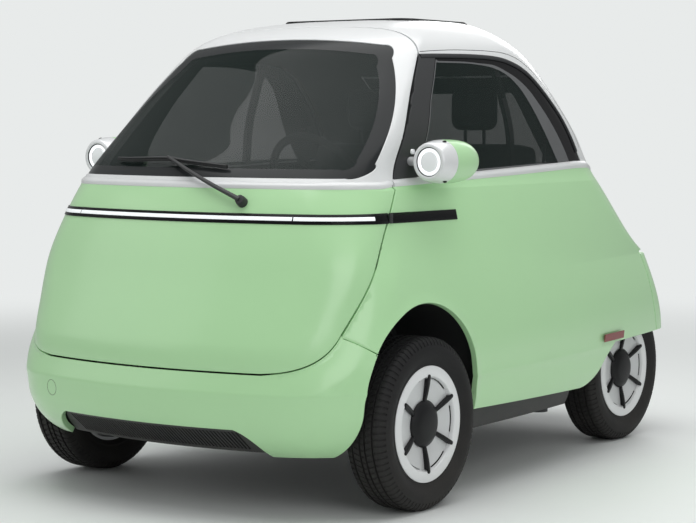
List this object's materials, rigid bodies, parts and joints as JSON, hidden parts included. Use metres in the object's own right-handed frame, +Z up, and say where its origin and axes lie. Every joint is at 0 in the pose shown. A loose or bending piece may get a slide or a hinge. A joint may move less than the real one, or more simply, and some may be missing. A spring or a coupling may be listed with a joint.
{
  "type": "two-seat electric microcar",
  "caption": "Two-seat electric microcar with a front-opening door, steering wheel, rear hatch and four rolling wheels, the front pair steering.",
  "frame": {"origin": "on the floor, under the middle of the bounding box", "axes": "+Z up, the car faces -Y, and its left side is +X"},
  "size_m": [1.4702, 2.5242, 1.4965],
  "materials": {
    "body_paint": "gloss mint green paint",
    "white_paint": "gloss white paint",
    "glass": "lightly tinted glass",
    "black_trim": "gloss black plastic",
    "dark_plastic": "grained black plastic",
    "light_strip": "clear white light guide",
    "red_lamp": "red lamp lens",
    "silver": "silver painted plastic",
    "lens": "clear lamp lens",
    "upholstery": "woven dark grey fabric",
    "steel": "plain steel",
    "cast": "cast aluminium",
    "tyre": "tyre rubber",
    "wheel_white": "silver white painted wheel"
  },
  "bodies": {
    "body": {"side_panel_left": "body_paint", "side_panel_right": "body_paint", "roof_frame": "white_paint", "sunroof": "black_trim", "front_bumper": "body_paint", "grille": "dark_plastic", "rear_panel": "body_paint", "rear_valance": "dark_plastic", "floor_tub": "dark_plastic", "arch_liners": "dark_plastic", "side_glass": "glass", "pillar_trims": "black_trim", "side_bars": "black_trim", "side_reflectors": "red_lamp", "window_bars": "dark_plastic", "jack_pads": "dark_plastic", "door_hinge_pin": "dark_plastic", "hatch_hinge_pin": "white_paint", "lamp_shells": "silver", "lamp_caps": "body_paint", "lamp_lenses": "lens", "seat_cushion": "upholstery", "seat_back": "upholstery", "head_restraints": "upholstery", "head_posts": "steel", "battery": "dark_plastic", "steering_column": "dark_plastic", "front_suspension": "steel", "rear_suspension": "steel", "motor": "cast"},
    "front_door": {"door_panel": "body_paint", "door_frame": "white_paint", "windscreen": "glass", "door_bar_strip": "light_strip", "door_bar_trim": "black_trim", "door_lining": "dark_plastic", "wiper": "dark_plastic", "door_hinge_leaf": "dark_plastic"},
    "rear_hatch": {"tailgate": "white_paint", "rear_glass": "glass", "rear_light_bar": "red_lamp", "hatch_hinge_leaf": "white_paint"},
    "driver_wheel": {"steering_wheel": "dark_plastic"},
    "left_knuckle": {"knuckle_left": "steel"},
    "right_knuckle": {"knuckle_right": "steel"},
    "front_left_wheel": {"front_left_tyre": "tyre", "front_left_rim": "wheel_white", "front_left_star": "black_trim"},
    "front_right_wheel": {"front_right_tyre": "tyre", "front_right_rim": "wheel_white", "front_right_star": "black_trim"},
    "rear_left_wheel": {"rear_left_tyre": "tyre", "rear_left_rim": "wheel_white", "rear_left_star": "black_trim"},
    "rear_right_wheel": {"rear_right_tyre": "tyre", "rear_right_rim": "wheel_white", "rear_right_star": "black_trim"}
  },
  "joints": [
    {"name": "front_door_hinge", "type": "hinge", "parent": "body", "child": "front_door", "pos_m": [0.605, -0.812, 0.7], "axis": [0, 0, 1], "range_deg": [0, 75]},
    {"name": "rear_hatch_hinge", "type": "hinge", "parent": "body", "child": "rear_hatch", "pos_m": [0, 0.463, 1.345], "axis": [1, 0, 0], "range_deg": [0, 80]},
    {"name": "steer_left", "type": "hinge", "parent": "body", "child": "left_knuckle", "pos_m": [0.585, -0.7315, 0.2605], "axis": [0, 0, 1], "range_deg": [-30, 30]},
    {"name": "steer_right", "type": "hinge", "parent": "body", "child": "right_knuckle", "pos_m": [-0.585, -0.7315, 0.2605], "axis": [0, 0, 1], "range_deg": [-30, 30]},
    {"name": "steering_wheel_turn", "type": "hinge", "parent": "body", "child": "driver_wheel", "pos_m": [0.225, -0.66, 0.973], "axis": [0, 0.866, 0.5], "range_deg": [-420, 420]},
    {"name": "front_left_spin", "type": "hinge", "parent": "left_knuckle", "child": "front_left_wheel", "pos_m": [0.6275, -0.7315, 0.2605], "axis": [1, 0, 0], "continuous": true},
    {"name": "front_right_spin", "type": "hinge", "parent": "right_knuckle", "child": "front_right_wheel", "pos_m": [-0.6275, -0.7315, 0.2605], "axis": [1, 0, 0], "continuous": true},
    {"name": "rear_left_spin", "type": "hinge", "parent": "body", "child": "rear_left_wheel", "pos_m": [0.4525, 0.8315, 0.2605], "axis": [1, 0, 0], "continuous": true},
    {"name": "rear_right_spin", "type": "hinge", "parent": "body", "child": "rear_right_wheel", "pos_m": [-0.4525, 0.8315, 0.2605], "axis": [1, 0, 0], "continuous": true}
  ],
  "couplings": [
    {"joint": "steer_right", "follows": "steer_left", "ratio": 1},
    {"joint": "steering_wheel_turn", "follows": "steer_left", "ratio": 14}
  ]
}
